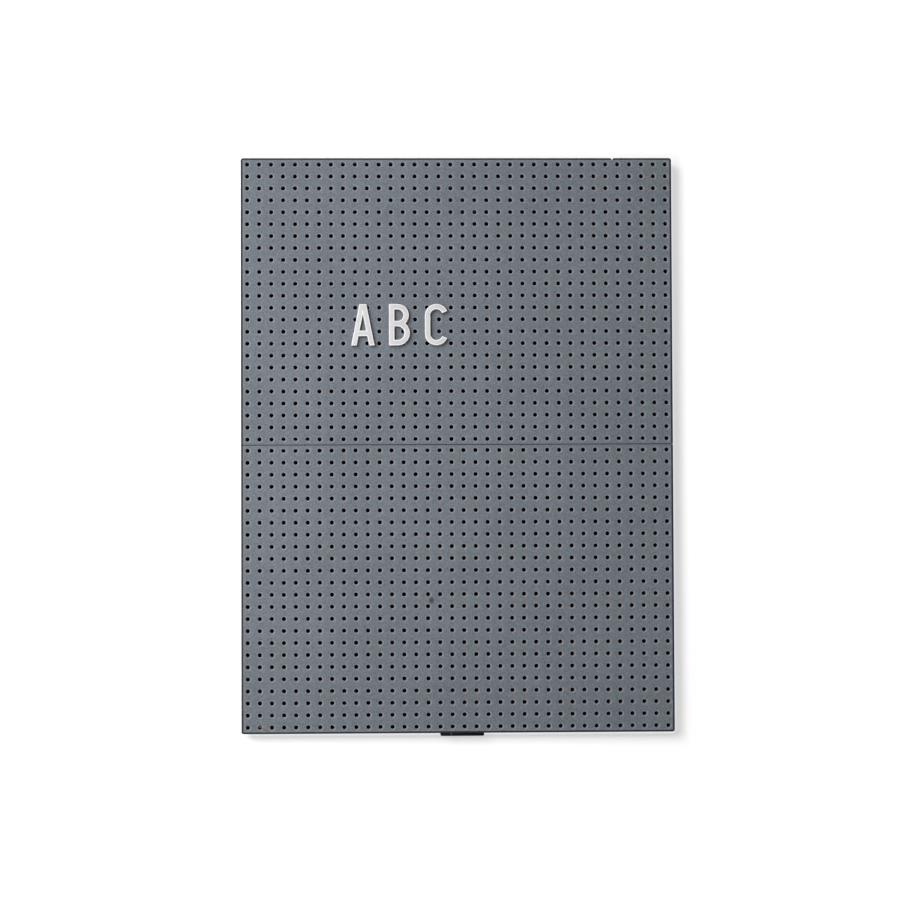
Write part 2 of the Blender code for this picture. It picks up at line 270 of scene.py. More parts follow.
def softLamp(name, place, size, power, aim, centre):
    data = bpy.data.lights.new(name, "AREA")
    data.shape = "DISK"
    data.size = size
    data.energy = power
    obj = bpy.data.objects.new(name, data)
    obj.location = Vector(place) + centre
    towards = Vector(aim) - Vector(place)
    obj.rotation_euler = towards.to_track_quat("-Z", "Y").to_euler()
    obj.visible_camera = False
    scene.collection.objects.link(obj)


def makeLights():
    centre = Vector((0, 0, seamZ))
    for name, lamp in stage["lamps"].items():
        softLamp(name, *lamp, centre)
    world = bpy.data.worlds.new("studio")
    scene.world = world
    world.use_nodes = True
    tree = world.node_tree
    tree.nodes.clear()
    # white where the camera sees it, and a plain low light on the object
    seen = addNode(tree, "LightPath", output="Is Camera Ray")
    level = addNode(tree, "MapRange", {"Value": seen, "To Min": stage["worldLevel"]})
    addNode(tree, "OutputWorld", addNode(tree, "Background", (1, 1, 1, 1), level))


makeCamera()
makeStage()
makeLights()
print("stage, lamps and camera set")


# The grid of holes, shared by the panels' meshes and by the wear round each hole

grid = {
    "pitch": 6.4 * mm, "columns": 36, "rows": 24,
    "seamMargin": 2.8 * mm,
}


def columnX(column):
    return (column - (grid["columns"] - 1) / 2) * grid["pitch"]


def panelZ(side, rise):
    # height of a point this far from the panel's seam edge: side is 1 above, -1 below
    edge = upperLow.z if side > 0 else lowerHigh.z
    return edge + side * rise


# The letters: plain upright strokes and half circles, on the proportions of the board's grid

letterForm = {
    "stroke": 2.944 * mm, "bar": 3.008 * mm, "steps": 40,
    "edge": 0.2 * mm, "edgeSteps": 3, "standOff": 0.3 * mm, "weld": 0.001 * mm, "smoothDegrees": 35,
    "pegRadius": 0.8 * mm, "pegSides": 24,
    "apex": 3.776 * mm, "barRiseA": 4.992 * mm,
    "barRiseB": 10.176 * mm, "upperInset": 0.512 * mm,
    "mouth": math.radians(22),
    # pegs, in mm from the letter's lower left corner
    "pegs": {
        "letter_a": ((2.2016, 1.28), (8.6016, 7.68)),
        "letter_b": ((1.184, 1.28), (1.184, 20.48)),
        "letter_c": ((7.616, 1.28), (7.616, 20.48)),
    },
}


def awayFromA(tree, x, z, width, height):
    stroke, bar, apex, barRise = (letterForm[key] / mm for key in ("stroke", "bar", "apex", "barRiseA"))
    lean = (width - apex) / 2 / height
    foot = (width - stroke * math.hypot(1, lean)) / 2
    legAt = addNode(tree, "Math", "MULTIPLY_ADD", z, -lean, foot)
    fromLeg = beyond(tree, x, width / 2, legAt)
    leg = beyond(tree, fromLeg, 0.0, stroke / 2)
    cross = beyond(tree, z, barRise + bar / 2, bar / 2)
    cross = addNode(tree, "Math", "MAXIMUM", cross, fromLeg)
    both = addNode(tree, "Math", "MINIMUM", leg, cross)
    return addNode(tree, "Math", "MAXIMUM", both, beyond(tree, z, height / 2, height / 2))


def awayFromB(tree, x, z, width, height):
    stroke, bar, barRise = (letterForm[key] / mm for key in ("stroke", "bar", "barRiseB"))
    upperRight = width - letterForm["upperInset"] / mm
    low, high = (barRise + bar) / 2, (height - barRise) / 2
    nearest = addNode(tree, "Math", "MAXIMUM", beyond(tree, x, stroke / 2, stroke / 2),
                      beyond(tree, z, height / 2, height / 2))
    leftOf = addNode(tree, "Math", "MULTIPLY", x, -1.0)
    for radius, right, middle in ((low, width, low), (high, upperRight, height - high)):
        across = addNode(tree, "Math", "SUBTRACT", x, right - radius)
        across = addNode(tree, "Math", "MAXIMUM", across, 0.0)
        up = addNode(tree, "Math", "SUBTRACT", z, middle)
        bowl = beyond(tree, lengthOf(tree, across, up), radius - bar / 2, bar / 2)
        bowl = addNode(tree, "Math", "MAXIMUM", bowl, leftOf)
        nearest = addNode(tree, "Math", "MINIMUM", nearest, bowl)
    return nearest


def awayFromC(tree, x, z, width, height):
    mouth, stroke = letterForm["mouth"], letterForm["stroke"] / mm
    radius = width / (1 + math.cos(mouth))
    across = addNode(tree, "Math", "SUBTRACT", x, radius)
    up = addNode(tree, "Math", "MAXIMUM", beyond(tree, z, height / 2, height / 2 - radius), 0.0)
    bowl = beyond(tree, lengthOf(tree, across, up), radius - stroke / 2, stroke / 2)
    # the mouth is open to the right, between the ends of the bowl
    rise = addNode(tree, "Math", "MULTIPLY", up, math.cos(mouth))
    opening = addNode(tree, "Math", "MULTIPLY", across, math.sin(mouth))
    opening = addNode(tree, "Math", "SUBTRACT", opening, rise)
    opening = addNode(tree, "Math", "MINIMUM", opening, across)
    return addNode(tree, "Math", "MAXIMUM", bowl, opening)


def letterDistance(tree, parts, shift=(0, 0)):
    # mm to the outline of the nearest letter, negative inside it, with the letters shifted by so much
    found = []
    for node, away in (("letter_a", awayFromA), ("letter_b", awayFromB), ("letter_c", awayFromC)):
        low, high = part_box(node)
        x = addNode(tree, "Math", "SUBTRACT", parts["X"], low.x / mm + shift[0])
        z = addNode(tree, "Math", "SUBTRACT", parts["Z"], low.z / mm + shift[1])
        found.append(away(tree, x, z, (high.x - low.x) / mm, (high.z - low.z) / mm))
    nearest = addNode(tree, "Math", "MINIMUM", *found[:2])
    return addNode(tree, "Math", "MINIMUM", nearest, found[2])


# Blue-grey ABS, injection moulded against a spark-eroded tool: dead matt, an even fine grain,
# a faint cloudiness where the melt flowed, a painted highlight on each hole's lip, painted shade
# on the outer edge's rounded rim, and a line just inside it that cloths and fingers have rubbed paler

panelFinish = {
    "colour": "#727A82", "cloudColour": "#6D757D", "warmColour": "#79797D", "coolColour": "#6A7783",
    # size in mm, detail and roughness of each noise; the real grain is about 0.1 mm, drawn this
    # coarse so that it shows
    "noise": {"cloud": (38.0, 3.0, 0.55), "patch": (9.0, 4.0, 0.6), "tone": (2.4, 2.0, 0.6),
              "grain": (0.7, 2.0, 0.7)},
    # from which to which noise value, and what that gives
    "clouds": (0.35, 0.65), "warmTone": (0.52, 0.72, 0.0, 0.08), "coolTone": (0.48, 0.28, 0.0, 0.08),
    "mottle": (0.35, 0.65, 0.992, 1.008),
    "fineGrain": 0.36, "fineSpeckle": 0.3, "fineTint": 0.11,
    "rough": (0.58, 0.70), "gloss": 0.35, "relief": (0.2, 0.03 * mm),
    # painted shade on the rounded rim: mm from the outer edge, and for the depth mm behind the plate's face,
    # between which it fades
    "rimShadeColour": "#1E1E33", "rimShadeOuter": "#2B0A1E", "rimShadeFade": (1.23, 0.88), "rimFade": (0.75, 0.35),
    "rimShadeDepth": (0.9, 0.4), "rimShadeAmount": 0.93, "edgeWaver": 0.08,
    "rubColour": "#93A0AC", "rubBand": (0.98, 1.33, 1.48, 2.03), "rubAmount": 0.28,
    # a painted highlight on the lip of each hole, where light catches its rounded mouth, by mm from its
    # centre: brightest on the side of this direction, in degrees from the right, upwards
    "lipHighlightColour": "#B0ABB1", "lipHighlightBand": (1.18, 1.33, 1.58, 1.8), "lipHighlightAmount": (0.32, 0.66),
    "lipHighlightTurn": -20.0, "lipHighlightWaver": 0.04,
    # a dark smudge (place, half size, raggedness, amount) and a brown fibre with the stain round it,
    # both in mm from the seam
    "smudgeColour": "#2F3236", "smudge": ((-14.2, -83.1), (1.35, 1.8), 0.5, 0.88),
    "fibreFrom": (-106.7, -149.26), "fibreTo": (-100.8, -152.5), "fibreColour": "#8C6A3C",
    "fibreRadius": 0.27, "fibreThinEnd": 0.189, "fibreSides": 12, "fibreLift": 0.05,
    "stainWidth": (0.372, 0.62), "stainFade": (1.0, 0.3, 0.0, 0.9), "stainWaver": 0.15,
    "stainEnds": (0.4, 0.6),
    "nickAt": 83.6, "nickHalf": 0.75, "nickDrop": 1.2, "nickColour": "#F2F0EC",
    # a painted shadow: the soft shade that each letter throws on the plate to its right and below
    "shadeShift": (1.25, -0.85), "shadeReach": (1.5, -0.6), "shadeAmount": 0.42, "shadeColour": "#0C0806",
    "shadeMargin": 8.0 * mm,
}


def endPlastic(tree, noise, values, colour, gloss):
    # ABS of this colour, with a faint relief of its grain
    strength, height = values["relief"]
    bump = addNode(tree, "Bump", {"Height": noise["grain"], "Strength": strength, "Distance": height})
    rough = addNode(tree, "MapRange", noise["patch"], *noiseSpan, *values["rough"])
    shader = addNode(tree, "BsdfPrincipled",
                     {"Base Color": colour, "Roughness": rough, "Specular IOR Level": gloss, "IOR": absIor,
                      "Normal": bump})
    addNode(tree, "OutputMaterial", shader)


def edgeDistance(tree, parts, low, high, upper):
    # mm from the board's outer edge, seen square on; the seam is no outer edge
    left = addNode(tree, "Math", "SUBTRACT", parts["X"], low.x / mm)
    right = addNode(tree, "Math", "SUBTRACT", high.x / mm, parts["X"])
    ends = (high.z / mm, parts["Z"]) if upper else (parts["Z"], low.z / mm)
    end = addNode(tree, "Math", "SUBTRACT", *ends)
    nearer = addNode(tree, "Math", "MINIMUM", left, right)
    return addNode(tree, "Math", "MINIMUM", nearer, end)


def holeOffset(tree, parts, upper):
    # from the centre of the nearest hole, seen square on: how far in mm, and in which direction,
    # as 1 towards the side of the lip's painted highlight, -1 away from it
    firstX = columnX(0) / mm
    firstZ = panelZ(1 if upper else -1, grid["seamMargin"]) / mm
    half = grid["pitch"] / mm / 2
    turn = math.radians(panelFinish["lipHighlightTurn"])
    offsets, sides = [], []
    for axis, first, share in (("X", firstX, math.cos(turn)), ("Z", firstZ, math.sin(turn))):
        off = addNode(tree, "Math", "SUBTRACT", parts[axis], first)
        off = addNode(tree, "Math", "WRAP", off, half, -half)
        offsets.append(off)
        sides.append(addNode(tree, "Math", "MULTIPLY", off, share))
    away = lengthOf(tree, *offsets)
    side = addNode(tree, "Math", "ADD", *sides)
    return away, addNode(tree, "Math", "DIVIDE", side, away)


def softSpot(tree, parts, grain, place, size, ragged, most=1.0, fade=(1.5, 0.1)):
    # a ragged oval of this half size about a point given in mm from the seam, 0 outside it
    offsets = []
    for axis, middle, half in (("X", place[0], size[0]), ("Z", seamZ / mm + place[1], size[1])):
        off = addNode(tree, "Math", "SUBTRACT", parts[axis], middle)
        off = addNode(tree, "Math", "DIVIDE", off, half)
        offsets.append(addNode(tree, "Math", "MULTIPLY", off, off))
    reach = addNode(tree, "Math", "ADD", *offsets)
    reach = wavering(tree, reach, grain, ragged)
    return addNode(tree, "MapRange", reach, *fade, 0.0, most)


def stainCover(tree, parts, grain):
    # the stain along the fibre, wider towards its end
    values = panelFinish
    start, end = values["fibreFrom"], values["fibreTo"]
    length = math.dist(start, end)
    alongX, alongZ = ((b - a) / length for a, b in zip(start, end))
    x = addNode(tree, "Math", "SUBTRACT", parts["X"], start[0])
    z = addNode(tree, "Math", "SUBTRACT", parts["Z"], seamZ / mm + start[1])
    run = addNode(tree, "Math", "MULTIPLY", z, alongZ)
    run = addNode(tree, "Math", "MULTIPLY_ADD", x, alongX, run)
    off = addNode(tree, "Math", "MULTIPLY", z, alongX)
    off = addNode(tree, "Math", "MULTIPLY_ADD", x, -alongZ, off)
    off = wavering(tree, off, grain, values["stainWaver"])
    off = addNode(tree, "Math", "ABSOLUTE", off)
    half = addNode(tree, "MapRange", run, 0.0, length, *values["stainWidth"])
    off = addNode(tree, "Math", "DIVIDE", off, half)
    beside = addNode(tree, "MapRange", off, *values["stainFade"])
    outer, inner = values["stainEnds"]
    lengthwise = within(tree, run, -outer, inner, length - inner, length + outer)
    return addNode(tree, "Math", "MULTIPLY", beside, lengthwise)


def frontFacing(tree, none=-0.35, full=-0.75):
    # 0 to 1 as a surface turns towards the front
    normal = addNode(tree, "NewGeometry", output="Normal")
    turned = addNode(tree, "SeparateXYZ", normal, output="Y")
    return addNode(tree, "MapRange", turned, none, full)


def nickFace(tree, parts, top, wider=0.03, deeper=0.05):
    # 1 on the surfaces inside the V-shaped nick, taken a hair wider and deeper than it is cut
    values = panelFinish
    point = top - values["nickDrop"]
    rise = addNode(tree, "Math", "SUBTRACT", parts["Z"], point)
    slope = values["nickHalf"] / values["nickDrop"]
    room = addNode(tree, "Math", "MULTIPLY_ADD", rise, slope, wider)
    aside = beyond(tree, parts["X"], values["nickAt"], room)
    inside = addNode(tree, "Math", "LESS_THAN", aside, 0.0)
    above = addNode(tree, "Math", "GREATER_THAN", parts["Z"], point - deeper)
    return addNode(tree, "Math", "MULTIPLY", inside, above)


def grainyColour(tree, coords, noise):
    # the plastic itself, faintly cloudy, with an even fine speckle paler and darker, warmer and cooler
    values = panelFinish
    colour = lay(tree, values["colour"],
                 (values["cloudColour"], addNode(tree, "MapRange", noise["cloud"], *values["clouds"])),
                 (values["warmColour"], addNode(tree, "MapRange", noise["tone"], *values["warmTone"])),
                 (values["coolColour"], addNode(tree, "MapRange", noise["tone"], *values["coolTone"])))
    cells = addNode(tree, "TexVoronoi", {"Vector": coords, "Scale": 1 / values["fineGrain"]}, output="Color")
    dots = addNode(tree, "SeparateColor", cells).node.outputs
    least, most = 1 - values["fineSpeckle"], 1 + values["fineSpeckle"]
    shade = addNode(tree, "MapRange", dots[0], 0.0, 1.0, least, most)
    mottle = addNode(tree, "MapRange", noise["patch"], *values["mottle"])
    shade = addNode(tree, "Math", "MULTIPLY", shade, mottle)
    warmth = addNode(tree, "MapRange", dots[1], 0.0, 1.0, -values["fineTint"], values["fineTint"])
    red = addNode(tree, "Math", "ADD", shade, warmth)
    blue = addNode(tree, "Math", "SUBTRACT", shade, warmth)
    grey = addNode(tree, "CombineColor", red, shade, blue)
    return addNode(tree, "Mix", {"Factor": 1.0, "A": colour, "B": grey}, data_type="RGBA",
                   blend_type="MULTIPLY")


def lipHighlight(tree, parts, grain, upper):
    # the painted highlight round each hole's lip, brightest on one side
    values = panelFinish
    away, side = holeOffset(tree, parts, upper)
    away = wavering(tree, away, grain, values["lipHighlightWaver"])
    paleness = addNode(tree, "MapRange", side, 0.0, 1.0, *values["lipHighlightAmount"])
    return addNode(tree, "Math", "MULTIPLY", within(tree, away, *values["lipHighlightBand"]), paleness)


def panelAbs(name, low, high, upper, shaded=False):
    values = panelFinish
    material, tree = startMaterial(name)
    coords, parts, noise = surface(tree, **values["noise"])
    onFront = frontFacing(tree)
    distance = edgeDistance(tree, parts, low, high, upper)
    distance = wavering(tree, distance, noise["patch"], values["edgeWaver"])
    lipLight = lipHighlight(tree, parts, noise["grain"], upper)
    rub = within(tree, distance, *values["rubBand"], values["rubAmount"])
    marks = [(values["lipHighlightColour"], addNode(tree, "Math", "MULTIPLY", lipLight, onFront)),
             (values["rubColour"], addNode(tree, "Math", "MULTIPLY", rub, onFront))]

    # painted shade: the outer edge's rounded rim darkened to a deep violet, on the front and just behind it
    rimShade = lay(tree, values["rimShadeColour"],
                (values["rimShadeOuter"], addNode(tree, "MapRange", distance, *values["rimFade"])))
    edge = addNode(tree, "MapRange", distance, *values["rimShadeFade"], 0.0, values["rimShadeAmount"])
    behind = [frontY / mm + depth for depth in values["rimShadeDepth"]]
    depth = addNode(tree, "MapRange", parts["Y"], *behind)
    marks.append((rimShade, addNode(tree, "Math", "MULTIPLY", edge, depth)))
    if upper:
        marks.append((values["nickColour"], nickFace(tree, parts, high.z / mm)))
    else:
        smudge = softSpot(tree, parts, noise["grain"], *values["smudge"])
        marks.append((values["smudgeColour"], smudge))
        stain = stainCover(tree, parts, noise["grain"])
        marks.append((values["fibreColour"], addNode(tree, "Math", "MULTIPLY", stain, onFront)))
    if shaded:
        # painted shadow of the letters: their shapes, shifted right and down, darken the plate
        reach = letterDistance(tree, parts, values["shadeShift"])
        shade = addNode(tree, "MapRange", reach, *values["shadeReach"], 0.0, values["shadeAmount"])
        marks.append((values["shadeColour"], addNode(tree, "Math", "MULTIPLY", shade, onFront)))

    colour = lay(tree, grainyColour(tree, coords, noise), *marks)
    endPlastic(tree, noise, values, colour, values["gloss"])
    return material


# ABS for the small mouldings: grey for the seam clips, black for the bottom clip and a
# satin white, slightly rounded and handled, for the letters. The relief is its strength and height

smallFinish = {
    # the seam clips' leg ends are painted dark as shade where they show through the holes
    "clip": {"name": "ABS, blue-grey, moulded clip", "colour": "#70777E", "worn": "#7B8289",
             "rough": (0.49, 0.63), "gloss": 0.5, "grain": 0.5, "relief": (0.3, 0.04 * mm),
             "legShadeColour": "#0C0C0E", "legShadeFade": (-6.8, -7.3)},
    "foot": {"name": "ABS, black, moulded clip", "colour": "#060609", "worn": "#17161A",
             "rough": (0.44, 0.58), "gloss": 0.15, "grain": 0.6, "relief": (0.3, 0.05 * mm),
             "speckColour": "#8A8E93", "speck": ((-3.9, -154.2), (0.45, 0.4), 0.4)},
    # along the letters' edges the mould's polish leaves a paler line, mm inside the outline
    "letter": {"name": "ABS, white, satin moulded letter", "colour": "#D7D5D6", "worn": "#CFCDCE",
               "rough": (0.36, 0.50), "gloss": 0.5, "grain": 0.7, "relief": (0.3, 0.03 * mm),
               "lineColour": "#F6F4F5", "lineFade": (-0.61, -0.51)},
}
smallWear = {
    "patch": (4.0, 3.0, 0.6), "edges": (0.52, 0.60, 0.0, 0.8), "patches": (0.45, 0.75, 0.0, 0.5),
    "lineFacing": (0.0, -0.3),
}


def smallAbs(values):
    material, tree = startMaterial(values["name"])
    parts, noise = surface(tree, grain=(values["grain"], 2.0, 0.6), patch=smallWear["patch"])[1:]
    # edges and patches rubbed by fingers
    sharp = addNode(tree, "NewGeometry", output="Pointiness")
    edges = addNode(tree, "MapRange", sharp, *smallWear["edges"])
    patches = addNode(tree, "MapRange", noise["patch"], *smallWear["patches"])
    marks = [(values["worn"], addNode(tree, "Math", "ADD", edges, patches))]
    gloss = values["gloss"]
    if "lineColour" in values:
        line = addNode(tree, "MapRange", letterDistance(tree, parts), *values["lineFade"])
        line = addNode(tree, "Math", "MULTIPLY", line, frontFacing(tree, *smallWear["lineFacing"]))
        marks.append((values["lineColour"], line))
    if "speckColour" in values:
        # a chip that shows pale
        marks.append((values["speckColour"], softSpot(tree, parts, noise["grain"], *values["speck"])))
    if "legShadeColour" in values:
        # painted shade: the front ends of the legs, seen through the holes, dark and dead matt as the
        # board's deep shade
        legShade = addNode(tree, "MapRange", parts["Y"], *values["legShadeFade"])
        marks.append((values["legShadeColour"], legShade))
        gloss = addNode(tree, "MapRange", legShade, 0.0, 1.0, gloss, 0.0)
    endPlastic(tree, noise, values, lay(tree, values["colour"], *marks), gloss)
    return material


clipAbs = smallAbs(smallFinish["clip"])
footAbs = smallAbs(smallFinish["foot"])
letterAbs = smallAbs(smallFinish["letter"])
print("materials made")


# The panels: every hole of the grid is a real one, with a rounded mouth

tray = {
    "plate": 2.0 * mm, "wall": 1.5 * mm, "pocketCorner": 0.8 * mm, "cornerSteps": 6,
    "outerEnd": {"corner": 1.2 * mm, "rim": 0.5 * mm},
    "seamEnd": {"corner": 0.12 * mm, "rim": 0.06 * mm},
    "rimSteps": 4, "rimDepth": 0.5 * mm, "rimShare": 0.7,
    "hole": 1.08 * mm, "mouth": 0.24 * mm, "mouthSteps": 2, "holeSides": 16,
    # holes partly closed by the seam clips' hooks, by column, and how far from their centres, in mm,
    # in the upper and in the lower panel
    "hooked": {3: (0.65, 0.7), 4: (0.6, 0.65), 5: (0.6, 0.7),
               14: (0.8, 0.75), 15: (0.75, 0.75), 16: (0.9, 0.9),
               30: (0.65, 0.7), 31: (0.7, 0.7), 32: (0.65, 0.65), 33: (0.7, 0.75)},
    "seamPress": 0.05 * mm,     # the panels stand this much closer together at the front
    "endWallDrop": 1.5 * mm, "lap": 0.4 * mm,
    "rib": 1.2 * mm, "ribAt": 38.4 * mm, "crossRibRise": 76.4 * mm,
    "hangerAt": 12.8 * mm, "hangerPlate": 2.0 * mm, "hangerDrop": 13.1 * mm, "hangerHeight": 19.2 * mm,
    "headRise": 6.2 * mm, "headRadius": 4.0 * mm, "headSides": 48,
    "slotRise": 5.5 * mm, "shankRadius": 2.1 * mm, "shankSides": 32,
    "nickReach": 3.0 * mm, "sharpDegrees": 40, "levelFrom": 0.9999,
    # burrs left in the mouths of two holes of the upper panel: column, row above the seam, place
    # from the hole's centre and radius, both in mm
    "burrs": ((17, 15, (-0.45, 0.5), 0.45), (16, 12, (0.7, -0.5), 0.5)), "burrSink": 0.5 * mm,
}


def midway(values):
    return [(a + b) / 2 for a, b in zip(values, values[1:])]


class TrayMesh:
    # the closed mesh of one perforated tray, put together loop by loop

    def __init__(self, low, high, side):
        self.low, self.high, self.side = low, high, side
        self.mesh = bmesh.new()
        self.known = {}
        self.xs = [columnX(n) for n in range(grid["columns"])]
        self.zs = sorted(panelZ(side, grid["seamMargin"] + n * grid["pitch"]) for n in range(grid["rows"]))

    def point(self, x, y, z):
        # one vertex for each place, told apart to a tenth of a micrometre
        key = (round(x * 1e7), round(y * 1e7), round(z * 1e7))
        if key not in self.known:
            self.known[key] = self.mesh.verts.new((x, y, z))
        return self.known[key]

    def edges(self, share):
        # the outline moved in by this share of the rim: its limits and its corners' radii
        outer, seam = tray["outerEnd"], tray["seamEnd"]
        below, above = (seam, outer) if self.side > 0 else (outer, seam)
        return {
            "left": self.low.x + outer["rim"] * share, "right": self.high.x - outer["rim"] * share,
            "below": self.low.z + below["rim"] * share - (tray["seamPress"] if self.side > 0 else 0),
            "above": self.high.z - above["rim"] * share + (tray["seamPress"] if self.side < 0 else 0),
            "radii": [end["corner"] - min(outer["rim"] * share, end["corner"] * tray["rimShare"])
                      for end in (above, above, below, below)],
        }

    def pocket(self):
        wall = tray["wall"]
        return {
            "left": self.low.x + wall, "right": self.high.x - wall,
            "below": self.low.z + wall, "above": self.high.z - wall,
            "radii": [tray["pocketCorner"]] * 4,
        }

    def corner(self, quadrant, edges):
        radius = edges["radii"][quadrant]
        x = edges["right"] - radius if quadrant in (0, 3) else edges["left"] + radius
        z = edges["above"] - radius if quadrant in (0, 1) else edges["below"] + radius
        steps = tray["cornerSteps"]
        angles = [math.radians(90 * (quadrant + n / steps)) for n in range(steps + 1)]
        return [(x + radius * math.cos(a), z + radius * math.sin(a)) for a in angles]

    def outline(self, edges, y):
        xs = sorted(self.xs + midway(self.xs))
        zs = sorted(self.zs + midway(self.zs))
        places = [(edges["right"], z) for z in zs] + self.corner(0, edges)
        places += [(x, edges["above"]) for x in reversed(xs)] + self.corner(1, edges)
        places += [(edges["left"], z) for z in reversed(zs)] + self.corner(2, edges)
        places += [(x, edges["below"]) for x in xs] + self.corner(3, edges)
        return [self.point(x, y, z) for x, z in places]

    def ring(self, column, row, radius, y):
        # round, but cut straight where a clip's hook reaches into the hole
        x, z = self.xs[column], self.zs[row]
        sides = tray["holeSides"]
        atSeam = row == (0 if self.side > 0 else grid["rows"] - 1)
        reach = radius
        if atSeam and column in tray["hooked"]:
            reach = tray["hooked"][column][0 if self.side > 0 else 1] * mm + radius - tray["hole"]
        loop = []
        for n in range(sides):
            angle = 2 * math.pi * n / sides
            rise = radius * math.sin(angle)
            rise = max(rise, -reach) if self.side > 0 else min(rise, reach)
            loop.append(self.point(x + radius * math.cos(angle), y, z + rise))
        return loop

    def join(self, loops):
        for first, second in zip(loops, loops[1:]):
            for n in range(len(first)):
                self.mesh.faces.new((first[n - 1], first[n], second[n], second[n - 1]))

    def plateFace(self, y, edges, holeRadius):
        # one flat side of the plate: four faces round each hole
        xLines = [edges["left"], *midway(self.xs), edges["right"]]
        zLines = [edges["below"], *midway(self.zs), edges["above"]]
        quarter = tray["holeSides"] // 4
        for column, x in enumerate(self.xs):
            for row, z in enumerate(self.zs):
                ring = self.ring(column, row, holeRadius, y)
                left, right = xLines[column], xLines[column + 1]
                below, above = zLines[row], zLines[row + 1]
                mids = [(right, z), (x, above), (left, z), (x, below)]
                corners = [(right, above), (left, above), (left, below), (right, below)]
                for quadrant in range(4):
                    atX = column == (grid["columns"] - 1 if quadrant in (0, 3) else 0)
                    atZ = row == (grid["rows"] - 1 if quadrant in (0, 1) else 0)
                    outer = self.corner(quadrant, edges) if atX and atZ else [corners[quadrant]]
                    places = [mids[quadrant], *outer, mids[(quadrant + 1) % 4]]
                    loop = [self.point(px, y, pz) for px, pz in places]
                    start = quadrant * quarter
                    loop += [ring[n % len(ring)] for n in range(start + quarter, start - 1, -1)]
                    self.mesh.faces.new(loop)

    def build(self):
        front, back = self.low.y, self.high.y
        plateBack = front + tray["plate"]
        loops = []
        for n in range(tray["rimSteps"] + 1):
            turn = math.radians(90 * n / tray["rimSteps"])
            depth = tray["rimDepth"] * (1 - math.cos(turn))
            loops.append(self.outline(self.edges(1 - math.sin(turn)), front + depth))
        loops.append(self.outline(self.edges(0), back))
        loops.append(self.outline(self.pocket(), back))
        loops.append(self.outline(self.pocket(), plateBack))
        self.join(loops)
        mouth = tray["mouth"]
        self.plateFace(front, self.edges(1), tray["hole"] + mouth)
        self.plateFace(plateBack, self.pocket(), tray["hole"])
        turns = [math.radians(90 * n / tray["mouthSteps"]) for n in range(tray["mouthSteps"] + 1)]
        for column in range(grid["columns"]):
            for row in range(grid["rows"]):
                rings = [self.ring(column, row, tray["hole"] + mouth * (1 - math.sin(turn)),
                                   front + mouth * (1 - math.cos(turn))) for turn in turns]
                rings.append(self.ring(column, row, tray["hole"], plateBack))
                self.join(rings)
        bmesh.ops.recalc_face_normals(self.mesh, faces=self.mesh.faces)
        return self.mesh


def meshObject(name, mesh):
    data = bpy.data.meshes.new(name)
    mesh.to_mesh(data)
    mesh.free()
    obj = bpy.data.objects.new(name, data)
    scene.collection.objects.link(obj)
    return obj


def boxInto(mesh, low, high):
    low, high = Vector(low), Vector(high)
    place = Matrix.Translation((low + high) / 2) @ Matrix.Diagonal((*(high - low), 1))
    bmesh.ops.create_cube(mesh, size=1, matrix=place)


def boxObject(name, low, high):
    mesh = bmesh.new()
    boxInto(mesh, low, high)
    return meshObject(name, mesh)


def rodObject(name, x, z, radius, low, high, sides):
    mesh = bmesh.new()
    place = Matrix.Translation((x, (low + high) / 2, z)) @ Matrix.Rotation(math.radians(90), 4, "X")
    bmesh.ops.create_cone(mesh, cap_ends=True, segments=sides, radius1=radius, radius2=radius,
                          depth=high - low, matrix=place)
    return meshObject(name, mesh)


def applyModifier(obj, modifier):
    # the object's mesh becomes what the modifier makes of it
    graph = bpy.context.evaluated_depsgraph_get()
    data = bpy.data.meshes.new_from_object(obj.evaluated_get(graph))
    obj.modifiers.remove(modifier)
    old = obj.data
    obj.data = data
    data.name = obj.name
    bpy.data.meshes.remove(old)


def combine(target, other, operation):
    # joins or cuts the target with the other object, which is then gone
    modifier = target.modifiers.new("combine", "BOOLEAN")
    modifier.operation = operation
    modifier.solver = "MANIFOLD"
    modifier.object = other
    applyModifier(target, modifier)
    bpy.data.objects.remove(other, do_unlink=True)


def smoothFaces(data, sharpDegrees, levelFrom=2.0):
    # smooth up to the sharp edges, but flat where the face looks this nearly along an axis
    for polygon in data.polygons:
        polygon.use_smooth = max(abs(v) for v in polygon.normal) < levelFrom
    data.set_sharp_from_angle(angle=math.radians(sharpDegrees))


def finishPiece(obj, node, material):
    obj.data.materials.clear()
    obj.data.materials.append(material)
    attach(obj, "root")
    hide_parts(node)


